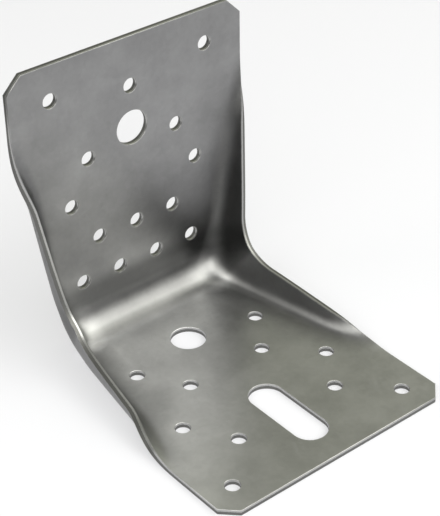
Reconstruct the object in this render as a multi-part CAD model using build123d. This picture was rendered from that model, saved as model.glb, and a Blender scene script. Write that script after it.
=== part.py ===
from build123d import *
from math import atan, cos, pi, radians, sin, sqrt, tan
import os

# Reinforced angle bracket, pressed in one piece from galvanised sheet. Sizes in millimetres.
# X runs along the bend, the lying leg points to -Y, the standing leg rises in +Z.
# "Heel" is the sharp outside corner the two legs would have without the bend.

# sheet and legs
width = 90.0
lying_leg = 103.0
standing_leg = 103.0
sheet = 2.0
bend_radius = 10.0             # inside radius of the bend between the legs

# flanges turned up along both sides, running through the bend and sinking into the legs
flange_width = 15.0            # sheet taken by a flange at the heel
flange_angle = 77.0            # degrees out of the leg's plane
fold_radius = 4.5              # inside radius of the fold along a leg
corner_fold_radius = 10.0      # inside radius of the fold where it crosses the bend
corner_reach = 20.0            # path length over which the fold radius grows towards the bend
foot_rounding = 8.0            # path length over which the fold line rounds the bend
rim_radius = 18.0              # rounding of the flange's rim above the bend
neutral_fibre = 0.4            # depth of the unstretched fibre as a share of the sheet
lying_clear = 24.0             # leg left flat at its free end
standing_clear = 17.0
lying_sink = 28.0              # length over which a flange sinks into its leg
standing_sink = 29.0
last_foot = 0.67               # sheet left outside the fold line where the longer flange ends
least_fold = 0.5               # half length of the fold where a flange ends
turn_reach = 36.0              # path length over which the section planes lean to cross the bend
flat_inset = 6.0               # the flat plates end this far inside the fold lines

# cut corners of the free ends
lying_corner = 5.0
standing_corner = 5.5

# nail holes: distance beside the centre line, distance from the leg's free end
nail_d = 5.0
lying_nails = [(35.0, 10.0), (20.0, 25.0), (30.0, 40.0), (15.0, 55.0), (25.0, 70.0)]
standing_nails = [(30.0, 12.0), (0.0, 17.0), (17.5, 37.0), (25.0, 52.0),
                  (0.0, 67.0), (15.0, 67.0), (7.5, 82.0), (22.5, 82.0)]

# bolt holes and the slot of the lying leg, on the centre line
bolt_d = 12.0
lying_bolt = 75.0              # from the free end
standing_bolt = 32.0
slot_middle = 25.0
slot_between = 20.0            # from one end centre to the other

# sizes that follow
half = width / 2
full_turn = radians(flange_angle)
bend_arc = bend_radius * pi / 4
heel_offset = sheet + bend_radius - bend_arc
back = lying_leg / 2
foot_at_heel = half - flange_width
lying_end = lying_leg - lying_clear
standing_end = standing_leg - standing_clear
splay = (flange_width - last_foot) / max(lying_end, standing_end)
flat_start = turn_reach + heel_offset


def ease(value):
    """Smooth step from 0 to 1."""
    v = min(max(value, 0.0), 1.0)
    return v * v * (3 - 2 * v)


def fold_reach(radius, turn):
    """Distance from the sharp fold line to where the sheet is straight again."""
    return radius * tan(turn / 2) + least_fold * (1 - turn / full_turn)


def flange_run(foot, reach, turn):
    """Straight part of the flange that the sheet's half width leaves beyond the fold."""
    arc = reach * (turn / tan(turn / 2) if turn > 0.001 else 2.0)
    return half - (foot - reach) - arc - neutral_fibre * sheet * turn


# rim seen from the side: it falls evenly with the distance from the heel and is rounded above the bend
full_reach = fold_reach(fold_radius, full_turn)
rim_fall = splay * sin(full_turn)
rim_at_heel = (full_reach + flange_run(foot_at_heel, full_reach, full_turn)) * sin(full_turn)
rim_tilt = atan(rim_fall)
rim_centre = (rim_radius / cos(rim_tilt) + sheet + rim_at_heel) / (1 + rim_fall)


def rim_distance(a, b, lean_a, lean_b):
    """Way from the point (a, b) of the inside L to the rim, in the direction (lean_a, lean_b)."""
    way = (rim_at_heel + sheet - b - rim_fall * a) / (lean_b + rim_fall * lean_a)
    if a + way * lean_a < rim_centre - rim_radius * sin(rim_tilt):
        along = (a - rim_centre) * lean_a + (b - rim_centre) * lean_b
        apart = (a - rim_centre) ** 2 + (b - rim_centre) ** 2
        way = -along - sqrt(along ** 2 - apart + rim_radius ** 2)
    return way


def section(path):
    """Outline of the sheet across the bracket. The path is measured along the inside of the L from the middle
    of the bend, negative on the lying leg and positive on the standing leg."""
    way = abs(path)
    heel = way + heel_offset
    bent = max(pi / 4 - way / bend_radius, 0.0)
    a = sheet + bend_radius - bend_radius * sin(bent) if bent > 0 else heel
    b = sheet + bend_radius - bend_radius * cos(bent)
    lean = pi / 4 * max(1 - way / turn_reach, 0.0) ** 2
    lean_a = sin(lean)
    lean_b = cos(lean)

    # sheet thickness below the inside face, measured in the leaning plane
    if a - sheet * tan(lean - bent) >= sheet + bend_radius:
        below = sheet / cos(lean - bent)
    else:
        axis_a = a - sheet - bend_radius
        axis_b = b - sheet - bend_radius
        along = axis_a * lean_a + axis_b * lean_b
        below = along + sqrt(along ** 2 - axis_a ** 2 - axis_b ** 2 + (bend_radius + sheet) ** 2)

    # fold and flange
    end = lying_end if path < 0 else standing_end
    sink = lying_sink if path < 0 else standing_sink
    turn = full_turn * (1 - ease((heel - end + sink) / sink))
    radius = fold_radius + (corner_fold_radius - fold_radius) * ease(1 - way / corner_reach)
    rounded = way if way > foot_rounding else (way ** 2 / foot_rounding + foot_rounding) / 2
    foot = foot_at_heel + splay * (rounded + heel_offset)
    reach = fold_reach(radius, turn)
    fold_x = foot + reach * cos(turn)
    fold_h = reach * sin(turn)
    if way < turn_reach:
        run = (rim_distance(a, b, lean_a, lean_b) - fold_h) / sin(turn)
    else:
        run = flange_run(foot, reach, turn)
    rim_x = fold_x + run * cos(turn)
    rim_h = fold_h + run * sin(turn)

    # outside of the flange; it leans out of the section plane, which widens its cut a little
    beside = sheet * sqrt(1 + (splay * sin(turn)) ** 2)
    out_x = beside * sin(turn)
    out_h = -beside * cos(turn)

    # the folds are drawn as curves that keep to the arc
    handle = reach * (4 / 3 * tan(turn / 4) / tan(turn / 2) if turn > 0.001 else 2 / 3)
    outer = handle * (1 + sheet / radius)

    def at(x, h):
        u = a + h * lean_a
        v = b + h * lean_b
        return (x, back - u, v) if path < 0 else (x, back - v, u)

    halves = []
    for side in (1, -1):
        start = foot - reach
        inside = [at(side * start, 0), at(side * (start + handle), 0),
                  at(side * (fold_x - handle * cos(turn)), fold_h - handle * sin(turn)),
                  at(side * fold_x, fold_h)]
        outside = [at(side * (fold_x + out_x), fold_h + out_h),
                   at(side * (fold_x + out_x - outer * cos(turn)), fold_h + out_h - outer * sin(turn)),
                   at(side * (start + outer), -below), at(side * start, -below)]
        inner_rim = at(side * rim_x, rim_h)
        outer_rim = at(side * (rim_x + out_x), rim_h + out_h)
        halves.append([Edge.make_bezier(*inside), Edge.make_line(inside[3], inner_rim),
                       Edge.make_line(inner_rim, outer_rim), Edge.make_line(outer_rim, outside[0]),
                       Edge.make_bezier(*outside)])
    right, left = halves
    inside_flat = Edge.make_line(left[0] @ 0, right[0] @ 0)
    outside_flat = Edge.make_line(right[4] @ 1, left[4] @ 1)
    return Wire([inside_flat] + right + [outside_flat] + left[::-1])


def spread(first, last, gap):
    """Even values from first towards last, about gap apart, last left out."""
    count = max(1, round(abs(last - first) / gap))
    return [first + (last - first) * i / count for i in range(count)]


def stations(end):
    """Paths of the sections from the far end of a flange to the bend's middle, closer at the bend."""
    along_leg = spread(end - heel_offset, corner_reach, 3.0)
    return along_leg + spread(corner_reach, bend_arc, 1.2) + spread(bend_arc, 0.0, 1.0)


def plate_side(heel):
    """Half width of a flat plate at a distance from the heel."""
    return foot_at_heel - flat_inset + splay * heel


def both_sides(right):
    """Right half of an outline completed with the left half."""
    return right + [(-x, heel) for x, heel in right[::-1]]


def on_lying(outline, low, high):
    """Solid over an outline of (across, distance from the heel) of the lying leg."""
    face = Face(Wire.make_polygon([(x, back - heel, low) for x, heel in outline]))
    return Solid.extrude(face, Vector(0, 0, high - low))


def on_standing(outline, low, high):
    """The same on the standing leg, with low and high counted inwards from its back."""
    face = Face(Wire.make_polygon([(x, back - low, heel) for x, heel in outline]))
    return Solid.extrude(face, Vector(0, low - high, 0))


def plate(leg, end, corner):
    """Outline of a leg's flat plate out to its free end."""
    return both_sides([(plate_side(flat_start), flat_start), (plate_side(end), end), (half, end),
                       (half, leg - corner), (half - corner, leg)])


def opening(leg):
    """Outline of the room between the flanges that the flat plate fills."""
    return both_sides([(plate_side(flat_start), flat_start), (plate_side(leg), leg)])


# bend, flanges and the strips beside them, drawn through the sections
paths = [-p for p in stations(lying_end)] + [0.0] + stations(standing_end)[::-1]
tray = Solid.make_loft([section(p) for p in paths])

# flat plates of the two legs
frame = tray - on_lying(opening(lying_leg), -sheet, 2 * sheet)
frame = frame - on_standing(opening(standing_leg), -sheet, 2 * sheet)
bracket = frame.fuse(on_lying(plate(lying_leg, lying_end, lying_corner), 0, sheet),
                     on_standing(plate(standing_leg, standing_end, standing_corner), 0, sheet))

# nail holes, bolt holes and slot, all cut with tools that pass well through the sheet
nail_tool = Cylinder(nail_d / 2, 3 * sheet)
bolt_tool = Cylinder(bolt_d / 2, 3 * sheet)
tools = []
for beside, from_end in lying_nails:
    for x in {beside, -beside}:
        tools.append(Pos(x, from_end - back, sheet / 2) * nail_tool)
for beside, from_end in standing_nails:
    for x in {beside, -beside}:
        tools.append(Pos(x, back - sheet / 2, standing_leg - from_end) * Rot(90, 0, 0) * nail_tool)
tools.append(Pos(0, lying_bolt - back, sheet / 2) * bolt_tool)
tools.append(Pos(0, back - sheet / 2, standing_leg - standing_bolt) * Rot(90, 0, 0) * bolt_tool)
slot = SlotCenterToCenter(slot_between, bolt_d)
tools.append(Pos(0, slot_middle - back, -sheet) * Rot(0, 0, 90) * extrude(slot, 3 * sheet))
for tool in tools:
    bracket = bracket - tool

os.makedirs("parts", exist_ok=True)
export_step(bracket, "parts/angle_bracket.step")
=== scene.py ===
"""Dressed model of a reinforced angle bracket pressed from galvanised steel sheet."""

import logging
import math
from dataclasses import dataclass, field
from enum import Enum
from functools import reduce

import bmesh
import bpy
from bmesh.types import BMEdge, BMesh, BMVert
from bpy.types import Material, Node, NodeSocket as Socket, NodeTree
from mathutils import Matrix, Vector


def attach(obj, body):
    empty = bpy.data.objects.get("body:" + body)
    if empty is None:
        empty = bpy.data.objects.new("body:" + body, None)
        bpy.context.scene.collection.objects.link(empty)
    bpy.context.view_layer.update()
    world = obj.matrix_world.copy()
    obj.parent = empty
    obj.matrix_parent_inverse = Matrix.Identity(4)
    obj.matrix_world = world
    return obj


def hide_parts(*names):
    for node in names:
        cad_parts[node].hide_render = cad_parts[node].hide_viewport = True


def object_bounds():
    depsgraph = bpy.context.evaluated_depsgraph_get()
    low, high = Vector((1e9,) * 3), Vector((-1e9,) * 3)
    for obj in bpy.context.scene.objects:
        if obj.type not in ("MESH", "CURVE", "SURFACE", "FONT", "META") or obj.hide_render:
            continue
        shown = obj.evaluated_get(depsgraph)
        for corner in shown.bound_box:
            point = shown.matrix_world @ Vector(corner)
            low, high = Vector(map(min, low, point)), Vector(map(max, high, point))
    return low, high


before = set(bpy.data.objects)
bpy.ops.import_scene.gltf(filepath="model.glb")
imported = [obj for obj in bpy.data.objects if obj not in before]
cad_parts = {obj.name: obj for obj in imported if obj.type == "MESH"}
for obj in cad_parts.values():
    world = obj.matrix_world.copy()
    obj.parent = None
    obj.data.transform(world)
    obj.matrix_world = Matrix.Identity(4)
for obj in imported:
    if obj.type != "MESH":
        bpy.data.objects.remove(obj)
cad_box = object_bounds()

MM = 0.001

# two places nearer than this count as one, and a fold that turns less, in radians, counts as flat
NEAR = 0.002 * MM
FLAT_TURN = 0.001

# height of a face's normal on the flat blank: least for the sheet's own faces, most for a cut wall
LEVEL = 0.999
WALL = 0.2

NODE = "angle_bracket"

Pair = tuple[float, float]
Triple = tuple[float, float, float]
Colour = tuple[float, float, float, float]

log = logging.getLogger("bracket")


class Leg(Enum):
    """The two legs, by the sign that a path along the sheet has on them."""

    LYING = -1
    STANDING = 1

    def pick(self, lying: object, standing: object) -> object:
        """The one of two values that belongs to the leg."""
        return lying if self is Leg.LYING else standing


def ease(value: float) -> float:
    """Smooth step from 0 to 1.

    Args:
        value: Where on the step, 0 at its foot and 1 at its top.

    Returns:
        The height reached.
    """
    v = min(max(value, 0.0), 1.0)
    return v * v * (3 - 2 * v)


def spread(first: float, last: float, gap: float) -> list[float]:
    """Even values from first towards last.

    Args:
        first: The first value.
        last: The value that the steps lead to, left out.
        gap: About how far apart the values lie.

    Returns:
        The values in order.
    """
    count = max(1, round(abs(last - first) / gap))
    return [first + (last - first) * i / count for i in range(count)]


def verts_in(made: dict[str, list]) -> list[BMVert]:
    """The vertices among what an operator made."""
    return [item for item in made["geom"] if isinstance(item, BMVert)]


@dataclass(frozen=True)
class Crossing:
    """The folded sheet along one line across the bracket."""

    leg: Leg
    along: float
    above: float
    lean: float
    start: float
    turn: float
    reach: float
    arc: float
    handle: float
    run: float

    @property
    def rim(self) -> float:
        """Distance on the flat blank from the middle to the flange's rim."""
        return self.start + self.arc + self.run

    def outline(self, across: float) -> tuple[float, float]:
        """Place on the inside of the sheet, as (distance beside the middle, height over the leg).

        Args:
            across: Distance from the middle on the flat blank.

        Returns:
            The two distances.
        """
        if across <= self.start:
            return across, 0.0
        end_x = self.start + self.reach * (1 + math.cos(self.turn))
        end_h = self.reach * math.sin(self.turn)
        share = (across - self.start) / self.arc
        if share >= 1:
            past = across - self.start - self.arc
            return end_x + past * math.cos(self.turn), end_h + past * math.sin(self.turn)
        back_x = end_x - self.handle * math.cos(self.turn)
        back_h = end_h - self.handle * math.sin(self.turn)
        rest = 1 - share
        first = 3 * rest * rest * share
        second = 3 * rest * share * share
        x = rest ** 3 * self.start + first * (self.start + self.handle) + second * back_x + share ** 3 * end_x
        return x, second * back_h + share ** 3 * end_h


@dataclass(frozen=True)
class PressTool:
    """The shape that the press gives to the flat blank: one bend, and a flange turned up along each side.

    A path is measured along the blank from the middle of the bend, negative on the lying leg.
    """

    width: float = 90 * MM
    lying_leg: float = 103 * MM
    standing_leg: float = 103 * MM
    sheet: float = 2 * MM
    bend_radius: float = 10 * MM
    flange_width: float = 15 * MM
    full_turn: float = math.radians(77)
    fold_radius: float = 4.5 * MM
    corner_fold_radius: float = 10 * MM
    corner_reach: float = 20 * MM
    foot_rounding: float = 8 * MM
    rim_radius: float = 18 * MM
    neutral_fibre: float = 0.4
    lying_clear: float = 24 * MM
    standing_clear: float = 17 * MM
    lying_sink: float = 28 * MM
    standing_sink: float = 29 * MM
    last_foot: float = 0.67 * MM
    least_fold: float = 0.5 * MM
    turn_reach: float = 36 * MM
    fine_probe: float = 0.02 * MM
    soft_probe: float = 2.0 * MM
    soft_side_probe: float = 3.2 * MM
    # reaches of the folds' painted shade and dulling, and of the painted highlight at the bend's corners
    shade_and_dull_reach: float = 7.0 * MM
    knob_highlight_gain: float = 0.9
    knob_highlight_reach: float = 1.6

    @property
    def half(self) -> float:
        """Half of the blank's width."""
        return self.width / 2

    @property
    def back(self) -> float:
        """Distance from the middle of the lying leg to the standing leg's back."""
        return self.lying_leg / 2

    @property
    def bend_arc(self) -> float:
        """Path from the middle of the bend to its end."""
        return self.bend_radius * math.pi / 4

    @property
    def heel_offset(self) -> float:
        """What a distance from the heel has over the path on a leg."""
        return self.sheet + self.bend_radius - self.bend_arc

    @property
    def foot_at_heel(self) -> float:
        """Distance of the fold line from the middle, at the heel."""
        return self.half - self.flange_width

    @property
    def splay(self) -> float:
        """How fast the fold lines run apart along a leg."""
        longest = max(self.flange_end(Leg.LYING), self.flange_end(Leg.STANDING))
        return (self.flange_width - self.last_foot) / longest

    def length(self, leg: Leg) -> float:
        """Length of a leg from the heel."""
        return leg.pick(self.lying_leg, self.standing_leg)

    def flange_end(self, leg: Leg) -> float:
        """Distance from the heel at which a leg's flange has sunk into it."""
        return self.length(leg) - leg.pick(self.lying_clear, self.standing_clear)

    def fold_reach(self, radius: float, turn: float) -> float:
        """Distance from the sharp fold line to where the sheet is straight again.

        Args:
            radius: Inside radius of the fold.
            turn: How far the sheet turns there, in radians.

        Returns:
            The distance.
        """
        return radius * math.tan(turn / 2) + self.least_fold * (1 - turn / self.full_turn)

    def flange_run(self, foot: float, reach: float, turn: float) -> float:
        """Straight part of the flange that the blank's half width leaves beyond the fold.

        Args:
            foot: Distance of the fold line from the middle.
            reach: What fold_reach gives for the fold.
            turn: How far the sheet turns there, in radians.

        Returns:
            The flange's straight length.
        """
        spent = self.fold_arc(reach, turn) + self.neutral_fibre * self.sheet * turn
        return self.half - (foot - reach) - spent

    @staticmethod
    def fold_arc(reach: float, turn: float) -> float:
        """Length of the fold's curve."""
        return reach * (turn / math.tan(turn / 2) if turn > FLAT_TURN else 2.0)

    def rim_distance(self, along: float, above: float, lean: float) -> float:
        """Way from a point on the inside to the flange's rim.

        Args:
            along: The point's distance from the outside face of the other leg.
            above: Its distance from the outside face of its own leg.
            lean: How far the way leans along the leg, in radians.

        Returns:
            The length of the way.
        """
        fall = self.splay * math.sin(self.full_turn)
        reach = self.fold_reach(self.fold_radius, self.full_turn)
        run = self.flange_run(self.foot_at_heel, reach, self.full_turn)
        height = (reach + run) * math.sin(self.full_turn)
        tilt = math.atan(fall)
        centre = (self.rim_radius / math.cos(tilt) + self.sheet + height) / (1 + fall)
        way = (height + self.sheet - above - fall * along) / (math.cos(lean) + fall * math.sin(lean))
        if along + way * math.sin(lean) < centre - self.rim_radius * math.sin(tilt):
            beside = (along - centre) * math.sin(lean) + (above - centre) * math.cos(lean)
            apart = (along - centre) ** 2 + (above - centre) ** 2
            way = -beside - math.sqrt(beside ** 2 - apart + self.rim_radius ** 2)
        return way

    def crossing(self, path: float) -> Crossing:
        """The folded sheet along one line across the bracket.

        Args:
            path: Path on the blank.

        Returns:
            The line's shape.
        """
        leg = Leg.LYING if path < 0 else Leg.STANDING
        way = abs(path)
        heel = way + self.heel_offset
        bent = max(math.pi / 4 - way / self.bend_radius, 0.0)
        inside = self.sheet + self.bend_radius
        along = inside - self.bend_radius * math.sin(bent) if bent > 0 else heel
        above = inside - self.bend_radius * math.cos(bent)
        lean = math.pi / 4 * max(1 - way / self.turn_reach, 0.0) ** 2
        sink = leg.pick(self.lying_sink, self.standing_sink)
        turn = self.full_turn * (1 - ease((heel - self.flange_end(leg) + sink) / sink))
        near = ease(1 - way / self.corner_reach)
        radius = self.fold_radius + (self.corner_fold_radius - self.fold_radius) * near
        rounding = self.foot_rounding
        rounded = way if way > rounding else (way ** 2 / rounding + rounding) / 2
        foot = self.foot_at_heel + self.splay * (rounded + self.heel_offset)
        reach = self.fold_reach(radius, turn)
        handle = reach * (4 / 3 * math.tan(turn / 4) / math.tan(turn / 2) if turn > FLAT_TURN else 2 / 3)
        if way < self.turn_reach:
            run = (self.rim_distance(along, above, lean) - reach * math.sin(turn)) / math.sin(turn)
        else:
            run = self.flange_run(foot, reach, turn)
        arc = self.fold_arc(reach, turn)
        return Crossing(leg, along, above, lean, foot - reach, turn, reach, arc, handle, run)

    def drawn(self, across: float, path: float) -> float:
        """How much the press has dulled the sheet, which also sets the painted shade over the folds.

        Args:
            across: Distance from the middle on the flat blank.
            path: Path on the blank.

        Returns:
            0 for plain sheet, 1 for a full fold, and below 0 at the painted highlight where a corner of the
            bend meets a fold.
        """
        cut = self.crossing(path)
        past = abs(across) - cut.start
        fold = ease((past + self.shade_and_dull_reach) / (cut.arc + self.shade_and_dull_reach)) * cut.turn / self.full_turn
        at_fold = ease(past / self.shade_and_dull_reach + 1) * ease(1 - past / cut.arc)
        # painted highlight where the bend's corners meet the folds
        knob = at_fold * ease(self.knob_highlight_reach - abs(path) / self.bend_arc)
        return fold - (fold + self.knob_highlight_gain) * knob

    def inside(self, across: float, path: float) -> tuple[float, float, float]:
        """Place on the pressed sheet's inside face of a point of the flat blank.

        Args:
            across: Distance from the middle.
            path: Path on the blank.

        Returns:
            The place in the part's own axes.
        """
        cut = self.crossing(path)
        beside, height = cut.outline(abs(across))
        x = math.copysign(beside, across)
        along = cut.along + height * math.sin(cut.lean)
        above = cut.above + height * math.cos(cut.lean)
        if cut.leg is Leg.LYING:
            return x, self.back - along, above
        return x, self.back - above, along

    def axes(self, across: float, path: float, step: float, side_step: float) -> Matrix:
        """Directions across, along and square to the pressed sheet, as the columns of a matrix.

        Args:
            across: Distance from the middle on the flat blank.
            path: Path on the blank.
            step: How far to each side along the path the sheet is felt.
            side_step: How far to each side across it.

        Returns:
            The three directions.
        """
        ahead = self.inside(across + side_step, path)
        behind = self.inside(across - side_step, path)
        above = self.inside(across, path + step)
        below = self.inside(across, path - step)
        first = Vector([(a - b) / side_step for a, b in zip(ahead, behind)]).normalized()
        other = Vector([(a - b) / step for a, b in zip(above, below)]).normalized()
        square = first.cross(other).normalized()
        return Matrix((first, square.cross(first), square)).transposed()


@dataclass(frozen=True)
class Punch:
    """A hole through the blank: round, or a slot along the path where the length is over nothing."""

    across: float
    path: float
    radius: float
    length: float = 0.0

    def core(self, point: Vector) -> Vector:
        """Nearest point on the line between the end centres."""
        low = self.path - self.length / 2
        return Vector((self.across, min(max(point.y, low), low + self.length), point.z))


@dataclass
class BracketSheet:
    """The bracket: a blank of sheet that is punched, rounded at its cut edges and pressed."""

    press: PressTool = field(default_factory=PressTool)
    lying_corner: float = 5 * MM
    standing_corner: float = 5.5 * MM
    nail_radius: float = 2.5 * MM
    bolt_radius: float = 6 * MM
    slot_between: float = 20 * MM
    lying_nails: tuple[Pair, ...] = ((35, 10), (20, 25), (30, 40), (15, 55), (25, 70))
    standing_nails: tuple[Pair, ...] = (
        (30, 12), (0, 17), (17.5, 37), (25, 52), (0, 67), (15, 67), (7.5, 82), (22.5, 82))
    lying_bolt: float = 75
    standing_bolt: float = 32
    slot_middle: float = 25
    ring: float = 0.8 * MM
    inside_rounding: float = 0.18 * MM
    outside_rounding: float = 0.12 * MM
    shear_depth: float = 0.8 * MM
    band_margin: float = 1.2 * MM
    row_gaps: tuple[float, ...] = (1.8 * MM, 1.4 * MM, 1.1 * MM, 0.6 * MM)
    central_columns: int = 6
    fold_columns: int = 14
    flange_columns: int = 7
    circle_steps: int = 64
    least_column: float = 0.1 * MM

    @property
    def columns(self) -> int:
        """Grid columns from the middle to the rim."""
        return self.central_columns + 1 + self.fold_columns + self.flange_columns + 1

    def free_end(self, leg: Leg) -> float:
        """Path at a leg's free end."""
        return leg.value * (self.press.length(leg) - self.press.heel_offset)

    def path_from_end(self, leg: Leg, distance: float) -> float:
        """Path at a distance in millimetres from a leg's free end."""
        return self.free_end(leg) - leg.value * distance * MM

    def flange_path(self, leg: Leg) -> float:
        """Path at which a leg's flanges have sunk into it."""
        return leg.value * (self.press.flange_end(leg) - self.press.heel_offset)

    def punches(self, leg: Leg) -> list[Punch]:
        """The holes of a leg.

        Args:
            leg: The leg.

        Returns:
            Its nail holes, its bolt hole and, on the lying leg, its slot.
        """
        nails = leg.pick(self.lying_nails, self.standing_nails)
        bolt = leg.pick(self.lying_bolt, self.standing_bolt)
        holes = [Punch(side * x * MM, self.path_from_end(leg, end), self.nail_radius)
                 for x, end in nails for side in ((1, -1) if x else (1,))]
        holes.append(Punch(0, self.path_from_end(leg, bolt), self.bolt_radius))
        if leg is Leg.LYING:
            middle = self.path_from_end(leg, self.slot_middle)
            holes.append(Punch(0, middle, self.bolt_radius, self.slot_between))
        return holes

    def leg_rows(self, leg: Leg) -> list[float]:
        """Lays out the grid rows of a leg, closest at the bend.

        Args:
            leg: The leg.

        Returns:
            Their distances from the bend's middle, the farthest first.
        """
        end = abs(self.flange_path(leg))
        stops = (end, self.press.turn_reach, self.press.corner_reach, self.band, 0.0)
        return [path for first, last, gap in zip(stops, stops[1:], self.row_gaps)
                for path in spread(first, last, gap)]

    def rows(self) -> list[float]:
        """Paths of all the grid rows, from the lying leg's flange end to the standing leg's."""
        lying, standing = self.leg_rows(Leg.LYING), self.leg_rows(Leg.STANDING)
        return [-path for path in lying] + [0.0] + standing[::-1]

    @property
    def band(self) -> float:
        """Half length of the stretch that has grid rows right across."""
        return self.press.bend_arc + self.band_margin

    def column_place(self, column: int, path: float) -> float:
        """Distance of a grid column from the middle.

        Args:
            column: Its number, 0 in the middle and negative on the left.
            path: The row's path.

        Returns:
            The distance, negative on the left.
        """
        cut = self.press.crossing(path)
        number = abs(column)
        outer = cut.rim - self.ring
        folded = min(cut.start + cut.arc, outer - self.flange_columns * self.least_column)
        start = min(cut.start, folded - self.fold_columns * self.least_column)
        first = self.central_columns
        fold_end = first + 1 + self.fold_columns
        if number <= first:
            place = (start - self.ring) * number / first
        elif number <= fold_end:
            place = start + (folded - start) * (number - first - 1) / self.fold_columns
        elif number < self.columns:
            place = folded + (outer - folded) * (number - fold_end) / self.flange_columns
        else:
            place = cut.rim
        return math.copysign(place, column)

    def flat_blank(self) -> BMesh:
        """Makes the punched blank without its thickness.

        Returns:
            One flat layer of faces, in (across, path).
        """
        bm = bmesh.new()
        rows = self.rows()
        wide = self.columns
        bmesh.ops.create_grid(bm, x_segments=2 * wide, y_segments=len(rows) - 1, size=1.0)
        number = bm.verts.layers.int.new("column")
        for vert in bm.verts:
            column = round(vert.co.x * wide)
            path = rows[round((vert.co.y + 1) / 2 * (len(rows) - 1))]
            vert[number] = abs(column)
            vert.co = (self.column_place(column, path), path, 0)
        band = self.band - NEAR
        middle = [face for face in bm.faces
                  if all(v[number] <= self.central_columns and abs(v.co.y) > band for v in face.verts)]
        bmesh.ops.delete(bm, geom=middle, context="FACES")
        for leg in Leg:
            self.fill_plate(bm, leg)
        bmesh.ops.remove_doubles(bm, verts=bm.verts, dist=NEAR)
        bm.normal_update()
        turned = [face for face in bm.faces if face.normal.z < 0]
        bmesh.ops.reverse_faces(bm, faces=turned)
        return bm

    def plate_outline(self, leg: Leg) -> list[tuple[Vector, Vector]]:
        """Lays out a leg's edge beyond its flanges, from the right one's end to the left one's.

        Args:
            leg: The leg.

        Returns:
            Each point one ring's width inside the edge, with its point on the edge.
        """
        half, ring = self.press.half, self.ring
        last, tip = self.flange_path(leg), self.free_end(leg)
        corner = leg.pick(self.lying_corner, self.standing_corner)
        slant = ring * (math.sqrt(2) - 1)
        outer = [(half, last), (half, tip - leg.value * corner), (half - corner, tip)]
        inner = [(half - ring, last), (half - ring, tip - leg.value * (corner + slant)),
                 (half - corner - slant, tip - leg.value * ring)]
        outline = []
        for side in (1, -1):
            pairs = [(Vector((side * a, b, 0)), Vector((side * c, d, 0)))
                     for (a, b), (c, d) in zip(inner, outer)]
            outline += pairs[::side]
        return outline

    def fill_plate(self, bm: BMesh, leg: Leg) -> None:
        """Closes the room between the strips of a leg, out to its free end and round its holes.

        Args:
            bm: The blank so far.
            leg: The leg to fill.
        """
        number = bm.verts.layers.int["column"]
        last = self.flange_path(leg)
        on_edge = [edge for edge in bm.edges if edge.is_boundary
                   and all(v.co.y * leg.value > 0 and v[number] < self.columns for v in edge.verts)
                   and (all(v[number] <= self.central_columns for v in edge.verts)
                        or all(abs(v.co.y - last) < NEAR for v in edge.verts))]
        outline = self.plate_outline(leg)
        border = [v for edge in on_edge for v in edge.verts]
        ends = [min(border, key=lambda v: (v.co - place).length) for place, _ in (outline[0], outline[-1])]
        verts = [ends[0]] + [bm.verts.new(place) for place, _ in outline[1:-1]] + [ends[1]]
        rim_edges = [bm.edges.new(pair) for pair in zip(verts, verts[1:])]
        rings = [self.ring_edges(bm, punch) for punch in self.punches(leg)]
        circle_edges = [edge for ring in rings for edge in ring]
        bmesh.ops.triangle_fill(bm, use_beauty=True, use_dissolve=False, normal=(0, 0, 1),
                                edges=on_edge + rim_edges + circle_edges)
        for punch, ring in zip(self.punches(leg), rings):
            for vert in verts_in(bmesh.ops.extrude_edge_only(bm, edges=ring)):
                core = punch.core(vert.co)
                vert.co = core + (vert.co - core).normalized() * punch.radius
        for vert in verts_in(bmesh.ops.extrude_edge_only(bm, edges=rim_edges)):
            vert.co = next(outer for inner, outer in outline if (inner - vert.co).length < NEAR)

    def ring_edges(self, bm: BMesh, punch: Punch) -> list[BMEdge]:
        """A line round a hole, one ring's width outside its wall.

        Args:
            bm: The blank so far.
            punch: The hole.

        Returns:
            The edges of the line.
        """
        half_step = Matrix.Rotation(math.pi / self.circle_steps, 4, "Z")
        place = Matrix.Translation((punch.across, punch.path, 0)) @ half_step
        made = bmesh.ops.create_circle(bm, segments=self.circle_steps, radius=punch.radius + self.ring,
                                       matrix=place)
        verts = made["verts"]
        for vert in verts:
            vert.co.y += math.copysign(punch.length / 2, vert.co.y - punch.path)
        chosen = set(verts)
        return [edge for edge in bm.edges if edge.verts[0] in chosen and edge.verts[1] in chosen]

    def solid_blank(self) -> BMesh:
        """Gives the punched blank its thickness and its rounded edges, and splits its walls where they tore.

        Returns:
            The blank, still flat.
        """
        bm = self.flat_blank()
        thickness = self.press.sheet
        made = bmesh.ops.extrude_face_region(bm, geom=bm.faces[:], use_keep_orig=True)
        bmesh.ops.translate(bm, verts=verts_in(made), vec=(0, 0, -thickness))
        bmesh.ops.recalc_face_normals(bm, faces=bm.faces)
        for depth, width in ((0.0, self.inside_rounding), (thickness, self.outside_rounding)):
            rims = [edge for edge in bm.edges if len(edge.link_faces) == 2
                    and all(abs(v.co.z + depth) < NEAR for v in edge.verts)
                    and any(abs(face.normal.z) < WALL for face in edge.link_faces)]
            bmesh.ops.bevel(bm, geom=rims, offset=width, offset_type="OFFSET", segments=3, profile=0.5,
                            affect="EDGES", clamp_overlap=False, material=-1)
        walls = [face for face in bm.faces if abs(face.normal.z) < WALL]
        parts = dict.fromkeys(part for face in walls for part in (face, *face.edges, *face.verts))
        bmesh.ops.bisect_plane(bm, geom=list(parts), dist=NEAR, plane_co=(0, 0, -self.shear_depth),
                               plane_no=(0, 0, 1))
        return bm

    @staticmethod
    def flat_direction(vert: BMVert) -> Vector:
        """Direction in which the flat blank faces at a point.

        Args:
            vert: The point.

        Returns:
            The direction of the level face there, or else of the cut walls, or else of all the faces.
        """
        level = [face.normal for face in vert.link_faces if abs(face.normal.z) > LEVEL]
        if level:
            return level[0].copy()
        walls = [face.normal for face in vert.link_faces if abs(face.normal.z) < WALL]
        return sum(walls, Vector()).normalized() if walls else vert.normal.copy()

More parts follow.
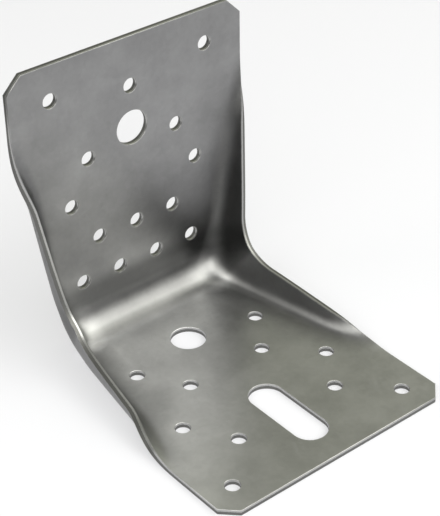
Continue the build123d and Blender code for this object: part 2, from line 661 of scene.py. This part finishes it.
    def pressed_mesh(self) -> bpy.types.Mesh:
        """Presses the blank into its exact shape, with softened surface directions.

        Returns:
            The finished mesh.
        """
        press = self.press
        bm = self.solid_blank()
        bm.normal_update()
        rub = bm.verts.layers.float.new("rim")
        flat = bm.verts.layers.float_vector.new("blank")
        # the press's dulling, which also carries the folds' painted shade and the bend corners' painted
        # highlight
        dulled = bm.verts.layers.float.new("drawn")
        for face in bm.faces:
            face.smooth = True
            face.material_index = 1 if abs(face.normal.z) < WALL else 0
        directions = []
        places = []
        for vert in bm.verts:
            vert[rub] = float(not all(abs(face.normal.z) > LEVEL for face in vert.link_faces))
            vert[flat] = vert.co
            vert[dulled] = press.drawn(vert.co.x, vert.co.y)
            inside = Vector(press.inside(vert.co.x, vert.co.y))
            exact = press.axes(vert.co.x, vert.co.y, press.fine_probe, press.fine_probe)
            places.append(inside + exact.col[2] * vert.co.z)
            soft = press.axes(vert.co.x, vert.co.y, press.soft_probe, press.soft_side_probe)
            directions.append((soft @ self.flat_direction(vert)).normalized())
        for vert, place in zip(bm.verts, places):
            vert.co = place
        mesh = bpy.data.meshes.new(NODE + "_sheet")
        bm.to_mesh(mesh)
        bm.free()
        mesh.normals_split_custom_set_from_vertices(directions)
        return mesh

    def build(self, finishes: list[Material]) -> bpy.types.Object:
        """Makes the bracket's object in place of the plain node.

        Args:
            finishes: The materials of the faces and of the cut edges, in that order.

        Returns:
            The finished object.
        """
        mesh = self.pressed_mesh()
        for finish in finishes:
            mesh.materials.append(finish)
        piece = bpy.data.objects.new("bracket_sheet", mesh)
        bpy.context.scene.collection.objects.link(piece)
        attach(piece, "root")
        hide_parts(NODE)
        return piece


class Nodes:
    """Short way to lay out the nodes of a material or a group."""

    def __init__(self, tree: NodeTree) -> None:
        """Starts with an empty tree."""
        self.tree = tree
        tree.nodes.clear()

    def add(self, kind: str, inputs: dict | None = None, **settings: object) -> Node:
        """Adds a node.

        Args:
            kind: The node's type name without its first part, such as TexNoise.
            inputs: Values or sockets for its inputs, by name or number.
            settings: Other properties to set first.

        Returns:
            The new node.
        """
        node = self.tree.nodes.new("ShaderNode" + kind)
        for name, value in settings.items():
            setattr(node, name, value)
        for name, value in (inputs or {}).items():
            self.feed(node, name, value)
        return node

    def feed(self, node: Node, name: str | int, value: object) -> None:
        """Sets or links one input of a node.

        Args:
            node: The node.
            name: The input's name or number.
            value: A plain value, or the socket to link.
        """
        if isinstance(value, Socket):
            self.tree.links.new(value, node.inputs[name])
        else:
            node.inputs[name].default_value = value

    def math(self, operation: str, *values: object, clamp: bool = False) -> Socket:
        """Output of a Math node."""
        return self.add("Math", dict(enumerate(values)), operation=operation, use_clamp=clamp).outputs[0]

    def times(self, first: object, *others: object) -> Socket:
        """Product of the values."""
        return reduce(lambda product, value: self.math("MULTIPLY", product, value), others, first)

    def plus(self, first: object, *parts: tuple[object, object]) -> Socket:
        """Sum of the first value and of each other one times its share."""
        return reduce(lambda total, part: self.math("ADD", total, self.times(*part)), parts, first)

    def ramp(self, value: object, low: float, high: float, to_low: float = 0.0,
             to_high: float = 1.0) -> Socket:
        """Value mapped smoothly from one range to another."""
        inputs = {"Value": value, "From Min": low, "From Max": high, "To Min": to_low, "To Max": to_high}
        return self.add("MapRange", inputs, interpolation_type="SMOOTHSTEP").outputs["Result"]

    def fade(self, value: object, low: float, high: float) -> Socket:
        """1 up to the low value and 0 from the high one on."""
        return self.ramp(value, low, high, 1.0, 0.0)

    def blend(self, factor: object, first: object, second: object) -> Socket:
        """Colour mixed from two others."""
        node = self.add("Mix", {0: factor, 6: first, 7: second}, data_type="RGBA")
        return node.outputs[2]

    def noise(self, vector: object, scale: object, detail: float, rough: float = 0.5) -> Socket:
        """Value of a noise texture."""
        node = self.add("TexNoise", {"Vector": vector, "Scale": scale, "Detail": detail, "Roughness": rough})
        return node.outputs["Fac"]

    def read(self, attribute: str, output: str = "Fac") -> Socket:
        """One of the mesh's own attributes."""
        return self.add("Attribute", attribute_name=attribute).outputs[output]

    def stretched(self, vector: object, scale: Triple) -> Socket:
        """Place scaled along its axes; a small scale draws a noise out."""
        return self.add("Mapping", {"Vector": vector, "Scale": scale}).outputs[0]

    def bump(self, height: object, strength: float, distance: float) -> Socket:
        """Surface direction bent by a height."""
        inputs = {"Height": height, "Strength": strength, "Distance": distance}
        return self.add("Bump", inputs).outputs[0]

    def surface(self, shader: Socket, kind: str = "Material") -> None:
        """Ends the tree with its shader."""
        out = self.tree.nodes.new("ShaderNodeOutput" + kind)
        self.feed(out, "Surface", shader)

    def metal(self, colour: object, rough: object, bump: object) -> None:
        """Ends the tree with bare metal."""
        inputs = {"Base Color": colour, "Metallic": 1.0, "Roughness": rough, "Normal": bump}
        self.surface(self.add("BsdfPrincipled", inputs).outputs[0])


def material(name: str) -> tuple[Nodes, Material]:
    """Starts a material.

    Args:
        name: The material's name.

    Returns:
        The layout to add nodes to, and the material itself.
    """
    made = bpy.data.materials.new(name)
    made.use_nodes = True
    return Nodes(made.node_tree), made


@dataclass(frozen=True)
class Effect:
    """A node group with its layout and its two ends."""

    nodes: Nodes
    tree: NodeTree
    source: Node
    sink: Node

    @classmethod
    def start(cls, name: str, values: dict[str, float], outputs: tuple[str, ...]) -> "Effect":
        """Starts a node group whose first input is the place.

        Args:
            name: The group's name.
            values: Its other inputs, by name, with their defaults.
            outputs: The names of its outputs.

        Returns:
            The group, empty between its ends.
        """
        tree = bpy.data.node_groups.new(name, "ShaderNodeTree")
        tree.interface.new_socket("Place", in_out="INPUT", socket_type="NodeSocketVector")
        for label, value in values.items():
            socket = tree.interface.new_socket(label, in_out="INPUT", socket_type="NodeSocketFloat")
            socket.default_value = value
        for label in outputs:
            tree.interface.new_socket(label, in_out="OUTPUT", socket_type="NodeSocketFloat")
        nodes = Nodes(tree)
        return cls(nodes, tree, tree.nodes.new("NodeGroupInput"), tree.nodes.new("NodeGroupOutput"))

    def put_out(self, **values: Socket) -> NodeTree:
        """Links the group's outputs.

        Args:
            values: What each output puts out, by its name.

        Returns:
            The finished group.
        """
        for name, value in values.items():
            self.nodes.feed(self.sink, name, value)
        return self.tree


@dataclass(frozen=True)
class ZincClouds:
    """Soft cloudy shades and the faint grain of a zinc coating."""

    cloud_scale: float = 60.0
    grain_scale: float = 700.0
    grain_share: float = 0.4
    cloud_edge: Pair = (0.3, 0.7)
    flake_scale: float = 0.6
    flake_share: float = 0.4

    def tree(self) -> NodeTree:
        """Builds the node group.

        Returns:
            The group.
        """
        values = {"Cloud Scale": self.cloud_scale, "Grain Scale": self.grain_scale,
                  "Grain Share": self.grain_share}
        effect = Effect.start("zinc clouds", values, ("Shade", "Grain"))
        nodes, given = effect.nodes, effect.source.outputs
        cloud = nodes.noise(given["Place"], given["Cloud Scale"], detail=5.0, rough=0.6)
        grain = nodes.noise(given["Place"], given["Grain Scale"], detail=0.5)
        flake_scale = nodes.times(given["Grain Scale"], self.flake_scale)
        cells = nodes.add("TexVoronoi", {"Vector": given["Place"], "Scale": flake_scale}, feature="F1")
        flakes = nodes.add("SeparateColor", {"Color": cells.outputs["Color"]}).outputs[0]
        fine = nodes.plus(nodes.times(grain, 1 - self.flake_share), (flakes, self.flake_share))
        cloud_share = nodes.math("SUBTRACT", 1.0, given["Grain Share"])
        clouded = nodes.times(nodes.ramp(cloud, *self.cloud_edge), cloud_share)
        return effect.put_out(Shade=nodes.plus(clouded, (fine, given["Grain Share"])), Grain=fine)


@dataclass(frozen=True)
class RollingLines:
    """Fine lines that the mill rolls leave along the sheet."""

    fineness: float = 2500.0
    stretch: Triple = (1.0, 0.02, 1.0)

    def tree(self) -> NodeTree:
        """Builds the node group.

        Returns:
            The group.
        """
        effect = Effect.start("rolling lines", {"Fineness": self.fineness}, ("Lines",))
        drawn = effect.nodes.stretched(effect.source.outputs["Place"], self.stretch)
        lines = effect.nodes.noise(drawn, effect.source.outputs["Fineness"], detail=2.0, rough=0.6)
        return effect.put_out(Lines=lines)


@dataclass(frozen=True)
class HandlingMarks:
    """Thin short scratches in all directions.

    Each set has its own turn in radians and the scale of the patches that it comes in. A scratch runs where a
    stretched noise has its middle value.
    """

    density: float = 0.5
    sets: tuple[Pair, ...] = ((0.4, 90.0), (1.3, 70.0), (2.3, 110.0))
    shift: float = 0.7
    stretch: Triple = (1.0, 0.06, 1.0)
    fineness: float = 5.0
    middle: float = 0.5
    thickness: float = 0.03
    patch_edge: Pair = (0.55, 0.75)

    def tree(self) -> NodeTree:
        """Builds the node group.

        Returns:
            The group.
        """
        effect = Effect.start("handling marks", {"Density": self.density}, ("Marks",))
        nodes, given = effect.nodes, effect.source.outputs
        marks = []
        for turn, scale in self.sets:
            placed = nodes.add("Mapping", {"Vector": given["Place"], "Rotation": (0, 0, turn),
                                           "Location": (turn, turn * self.shift, 0)}).outputs[0]
            line = nodes.noise(nodes.stretched(placed, self.stretch), scale * self.fineness, detail=1.0)
            beside = nodes.math("ABSOLUTE", nodes.math("SUBTRACT", line, self.middle))
            patch = nodes.ramp(nodes.noise(placed, scale, detail=0.0), *self.patch_edge)
            marks.append(nodes.times(nodes.fade(beside, 0.0, self.thickness), patch))
        total = reduce(lambda first, other: nodes.math("MAXIMUM", first, other), marks)
        return effect.put_out(Marks=nodes.math("MULTIPLY", total, given["Density"], clamp=True))


@dataclass(frozen=True)
class ZincFace:
    """The dull galvanised faces of the sheet.

    Each tone multiplies the colour to paint light or shade on it: painted shade over the folds, in the bend,
    in the corner above it and low on the standing leg, a painted highlight at the bend's corners, painted
    light over the lying leg and at its foot, and a painted reflection on its left part. Where a tone comes in
    or fades is a stretch of the blank, measured along it from the middle of the bend, negative on the lying
    leg. Only bend_fade counts both ways, and window_fade is measured across the blank at the bend and moves
    to the left along the lying leg by window_slant.
    """

    dark: Colour = (0.242, 0.242, 0.244, 1)
    light: Colour = (0.33, 0.33, 0.333, 1)
    rubbed: Colour = (0.52, 0.52, 0.51, 1)

    # tones that paint light and shade on the colour: painted shade, a painted highlight, painted light and a
    # painted reflection
    shade_and_highlight_tone: float = 0.44
    bend_shade_tone: float = 0.67
    corner_shade_tone: float = 0.37
    low_shade_tone: float = 0.6
    foot_light_tone: float = 1.6
    lying_light_tone: float = 1.44
    window_reflection_tone: float = 1.27
    folded_share: float = 0.5

    bend_fade: Pair = (3 * MM, 8 * MM)
    above_bend: Pair = (2 * MM, 8.5 * MM)
    corner_fade: Pair = (12 * MM, 20 * MM)
    low_fade: Pair = (20 * MM, 66 * MM)
    foot_rise: Pair = (-34 * MM, -12 * MM)
    foot_fade: Pair = (-8 * MM, -4 * MM)
    lying_fade: Pair = (-7 * MM, 0.0)
    window_slant: float = 0.807
    window_fade: Pair = (24 * MM, 46 * MM)

    worn_rim: Pair = (0.45, 1.0)
    worn_grain: Pair = (0.3, 0.7)
    least_worn: float = 0.4
    rubbed_share: float = 0.25

    roughness: float = 0.288
    cloud_roughness: float = 0.06
    mark_roughness: float = 0.12
    fold_roughness: float = 0.06
    line_roughness: float = 0.04
    peel_scale: float = 800.0
    peel_strength: float = 0.1
    peel_depth: float = 0.1 * MM

    @staticmethod
    def tone(nodes: Nodes, mask: Socket, strength: float) -> Socket:
        """Factor for the colour: 1 where the mask is 0, and the strength where it is 1."""
        return nodes.plus(1.0, (mask, strength - 1))

    def all_tones(self, nodes: Nodes, blank: Socket, drawn: Socket, folded: Socket) -> Socket:
        """Factor for the colour from every tone together, which paints light and shade.

        Args:
            nodes: The material's layout.
            blank: The place on the flat blank.
            drawn: How much the press has dulled the sheet, which also paints shade over the folds, below 0 at
                the painted highlight of the bend's corners.
            folded: The same, 0 at that painted highlight.

        Returns:
            The factor.
        """
        spot = nodes.add("SeparateXYZ", {"Vector": blank}).outputs
        path = spot["Y"]
        less_folded = self.tone(nodes, folded, self.folded_share)
        above_bend = nodes.ramp(path, *self.above_bend)
        lying = nodes.times(nodes.fade(path, *self.lying_fade), less_folded)
        foot = nodes.times(nodes.fade(path, *self.foot_fade), nodes.ramp(path, *self.foot_rise))
        slant = nodes.math("SUBTRACT", spot["X"], nodes.times(path, self.window_slant))
        masks = (
            # painted shade in the bend
            (nodes.fade(nodes.math("ABSOLUTE", path), *self.bend_fade), self.bend_shade_tone),
            # painted shade in the corner above the bend
            (nodes.times(above_bend, nodes.fade(path, *self.corner_fade), less_folded), self.corner_shade_tone),
            # painted shade low on the standing leg, darker towards the bend
            (nodes.times(above_bend, nodes.fade(path, *self.low_fade), less_folded), self.low_shade_tone),
            # painted light at the lying leg's foot, below the bend
            (nodes.times(foot, nodes.math("SUBTRACT", 1.0, folded)), self.foot_light_tone),
            # painted light over the lying leg
            (lying, self.lying_light_tone),
            # painted reflection on the lying leg's left part
            (nodes.times(lying, nodes.fade(slant, *self.window_fade)), self.window_reflection_tone),
        )
        tones = [self.tone(nodes, mask, strength) for mask, strength in masks]
        # the fold tone paints shade over the folds and a highlight at the bend's corners
        return nodes.times(self.tone(nodes, drawn, self.shade_and_highlight_tone), *tones)

    def material(self) -> Material:
        """Builds the material.

        Returns:
            The finish.
        """
        nodes, made = material("zinc_face")
        place = nodes.add("TexCoord").outputs["Object"]
        blank = nodes.read("blank", "Vector")
        # the press's dulling, which through the tones also paints shade over the folds and a highlight at the
        # bend's corners
        drawn = nodes.read("drawn")
        folded = nodes.math("MAXIMUM", drawn, 0.0)
        clouds = nodes.add("Group", {"Place": place}, node_tree=ZincClouds().tree()).outputs
        lines = nodes.add("Group", {"Place": blank}, node_tree=RollingLines().tree()).outputs
        marks = nodes.add("Group", {"Place": blank}, node_tree=HandlingMarks().tree()).outputs

        plain = nodes.blend(clouds["Shade"], self.dark, self.light)
        # the tones scale the colour to paint light and shade
        toned = {0: plain, "Scale": self.all_tones(nodes, blank, drawn, folded)}
        base = nodes.add("VectorMath", toned, operation="SCALE").outputs[0]
        rub = nodes.times(nodes.ramp(nodes.read("rim"), *self.worn_rim),
                          nodes.ramp(clouds["Grain"], *self.worn_grain, self.least_worn, 1.0))
        colour = nodes.blend(nodes.times(rub, self.rubbed_share), base, self.rubbed)

        rough = nodes.plus(self.roughness, (clouds["Shade"], self.cloud_roughness),
                           (marks["Marks"], self.mark_roughness), (folded, self.fold_roughness),
                           (lines["Lines"], self.line_roughness))
        peel = nodes.noise(place, self.peel_scale, detail=2.0, rough=0.6)
        nodes.metal(colour, rough, nodes.bump(peel, self.peel_strength, self.peel_depth))
        return made


@dataclass(frozen=True)
class ShearedEdge:
    """The cut walls of the holes and of the outline: a bright shorn band over a rough broken one."""

    depth: float
    shorn: Colour = (0.44, 0.44, 0.435, 1)
    broken: Colour = (0.17, 0.17, 0.165, 1)
    streak_stretch: Triple = (1.0, 1.0, 0.08)
    streak_scale: float = 5000.0
    pit_scale: float = 6000.0
    middle: float = 0.5
    wander: float = 0.5 * MM
    blur: float = 0.1 * MM
    streak_height: float = 0.6
    bump_strength: float = 0.3
    bump_depth: float = 0.06 * MM
    roughness: float = 0.34
    broken_roughness: float = 0.16

    def material(self) -> Material:
        """Builds the material.

        Returns:
            The finish.
        """
        nodes, made = material("sheared_edge")
        blank = nodes.read("blank", "Vector")
        streak = nodes.noise(nodes.stretched(blank, self.streak_stretch), self.streak_scale, detail=2.0)
        pits = nodes.noise(blank, self.pit_scale, detail=2.0)
        height = nodes.add("SeparateXYZ", {"Vector": blank}).outputs["Z"]
        level = nodes.plus(height, (nodes.math("SUBTRACT", streak, self.middle), self.wander))
        torn = nodes.fade(level, -self.depth - self.blur, -self.depth + self.blur)
        colour = nodes.blend(torn, self.shorn, self.broken)
        rise = nodes.plus(nodes.times(streak, self.streak_height), (pits, torn))
        rough = nodes.plus(self.roughness, (torn, self.broken_roughness))
        nodes.metal(colour, rough, nodes.bump(rise, self.bump_strength, self.bump_depth))
        return made


def way_to(bearing: float, height: float) -> Vector:
    """Direction from the bracket to something that stands around it.

    Args:
        bearing: Degrees round from the lying leg's direction, positive to the right.
        height: Degrees above the floor.

    Returns:
        The direction, of length 1.
    """
    turn, rise = math.radians(bearing), math.radians(height)
    return Vector((math.sin(turn) * math.cos(rise), -math.cos(turn) * math.cos(rise), math.sin(rise)))


@dataclass(frozen=True)
class SoftBox:
    """A soft lamp that faces the bracket."""

    name: str
    bearing: float
    height: float
    distance: float
    size: Pair
    brightness: float
    colour: Triple = (1.0, 1.0, 0.935)

    def build(self, target: Vector) -> None:
        """Adds the lamp.

        Args:
            target: The point that it faces.
        """
        way = way_to(self.bearing, self.height)
        lamp = bpy.data.lights.new(self.name, "AREA")
        lamp.shape = "RECTANGLE"
        lamp.size, lamp.size_y = self.size
        lamp.energy = self.brightness * math.pi * self.size[0] * self.size[1]
        lamp.color = self.colour
        holder = bpy.data.objects.new(self.name, lamp)
        holder.location = target + way * self.distance
        holder.rotation_euler = way.to_track_quat("Z", "Y").to_euler()
        holder.visible_camera = False
        bpy.context.scene.collection.objects.link(holder)


@dataclass(frozen=True)
class Studio:
    """Pale floor with a painted white pool of light, quiet surrounding light and four wide soft boxes."""

    dim: float = 0.14
    lit: float = 0.475
    lit_side: Triple = (0.8, 0.45, 0.4)
    lit_edge: Pair = (-0.1, 0.8)
    lit_colour: Colour = (0.98, 1.0, 0.82, 1)
    dim_colour: Colour = (1.0, 1.0, 1.0, 1)
    floor_size: float = 4.0
    floor_white: float = 0.7
    floor_blue: float = 1.08
    # the painted pool of light on the floor, and how dark the floor is painted beyond it
    pool_middle: Triple = (0.06, 0.08, 0.0)
    pool_edge: Pair = (0.2, 0.34)
    floor_far: float = 0.4
    glow_share: float = 0.45
    lamps: tuple[SoftBox, ...] = (
        SoftBox("front_box", 14, 44, 1.1, (2.4, 0.74), 3.1),
        SoftBox("low_box", 34, 14, 1.1, (1.5, 0.42), 1.2),
        SoftBox("right_box", 74, 57, 1.1, (0.9, 0.5), 1.7),
        SoftBox("side_box", -80, 40, 1.25, (2.0, 0.8), 2.9),
    )

    def build(self) -> None:
        """Adds floor, world and lamps."""
        self.floor()
        self.world()
        target = (Vector(cad_box[0]) + Vector(cad_box[1])) / 2
        for lamp in self.lamps:
            lamp.build(target)

    def paper(self) -> Material:
        """Builds the floor's material, which glows a little to the camera and to mirrors and has a painted
        pool of light.

        Returns:
            The finish.
        """
        nodes, made = material("floor_paper")
        place = nodes.add("TexCoord").outputs["Object"]
        away = nodes.add("VectorMath", {0: place, 1: self.pool_middle}, operation="DISTANCE").outputs["Value"]
        # painted pool of light: the floor's colour and glow fade to floor_far away from the pool's middle
        pool = nodes.ramp(away, *self.pool_edge, 1.0, self.floor_far)
        white = nodes.times(pool, self.floor_white)
        matt = nodes.add("CombineColor", {0: white, 1: white, 2: nodes.times(white, self.floor_blue)})
        bright = nodes.add("CombineColor", {0: pool, 1: pool, 2: pool})
        paper = nodes.add("BsdfDiffuse", {"Color": matt.outputs[0]}).outputs[0]
        glow = nodes.add("Emission", {"Color": bright.outputs[0]}).outputs[0]
        rays = nodes.add("LightPath").outputs
        mirrored = nodes.math("MAXIMUM", rays["Is Glossy Ray"], rays["Is Transmission Ray"])
        seen = nodes.math("MAXIMUM", rays["Is Camera Ray"], mirrored)
        share = nodes.times(seen, self.glow_share)
        nodes.surface(nodes.add("MixShader", {0: share, 1: paper, 2: glow}).outputs[0])
        return made

    def floor(self) -> None:
        """Adds the floor, which keeps the bracket's shadow."""
        bm = bmesh.new()
        bmesh.ops.create_grid(bm, x_segments=1, y_segments=1, size=self.floor_size / 2)
        mesh = bpy.data.meshes.new("floor")
        bm.to_mesh(mesh)
        bm.free()
        mesh.materials.append(self.paper())
        floor = bpy.data.objects.new("floor", mesh)
        bpy.context.scene.collection.objects.link(floor)

    def world(self) -> None:
        """Adds the surrounding light, which is weaker on one side."""
        world = bpy.data.worlds.new("surround")
        bpy.context.scene.world = world
        world.use_nodes = True
        nodes = Nodes(world.node_tree)
        way = nodes.add("TexCoord").outputs["Generated"]
        side = nodes.add("VectorMath", {0: way, 1: self.lit_side}, operation="DOT_PRODUCT").outputs["Value"]
        share = nodes.ramp(side, *self.lit_edge)
        level = nodes.plus(self.dim, (share, self.lit - self.dim))
        colour = nodes.blend(share, self.dim_colour, self.lit_colour)
        sky = nodes.add("Background", {"Color": colour, "Strength": level}).outputs[0]
        nodes.surface(sky, "World")


@dataclass(frozen=True)
class PhotoCamera:
    """The camera that took the picture, in metres and degrees."""

    place: Triple = (-0.258515, -0.314125, 0.321574)
    bearing: float = -38.919
    height: float = 34.093
    roll: float = -0.907
    focal_pixels: float = 1597.9
    image_height: int = 516
    sensor: float = 36.0
    nearest: float = 0.01

    def build(self) -> None:
        """Adds the camera and makes it the scene's."""
        turn, roll = math.radians(self.bearing), math.radians(self.roll)
        back = way_to(self.bearing, self.height)
        right = Vector((math.cos(turn), math.sin(turn), 0))
        up = back.cross(right)
        across = right * math.cos(roll) + up * math.sin(roll)
        upward = up * math.cos(roll) - right * math.sin(roll)
        camera = bpy.data.cameras.new("photo_camera")
        camera.sensor_width = self.sensor
        camera.lens = self.focal_pixels * self.sensor / self.image_height
        camera.clip_start = self.nearest
        holder = bpy.data.objects.new("photo_camera", camera)
        axes = Matrix((across, upward, back)).transposed().to_4x4()
        holder.matrix_world = Matrix.Translation(self.place) @ axes
        bpy.context.scene.collection.objects.link(holder)
        bpy.context.scene.camera = holder


def main() -> None:
    """Builds the bracket and its studio in order."""
    logging.basicConfig(level=logging.INFO, format="%(message)s")
    sheet = BracketSheet()
    piece = sheet.build([ZincFace().material(), ShearedEdge(sheet.shear_depth).material()])
    log.info("bracket_sheet: %d faces", len(piece.data.polygons))
    Studio().build()
    PhotoCamera().build()
    bpy.context.scene.view_settings.view_transform = "Standard"


if __name__ == "__main__":
    main()
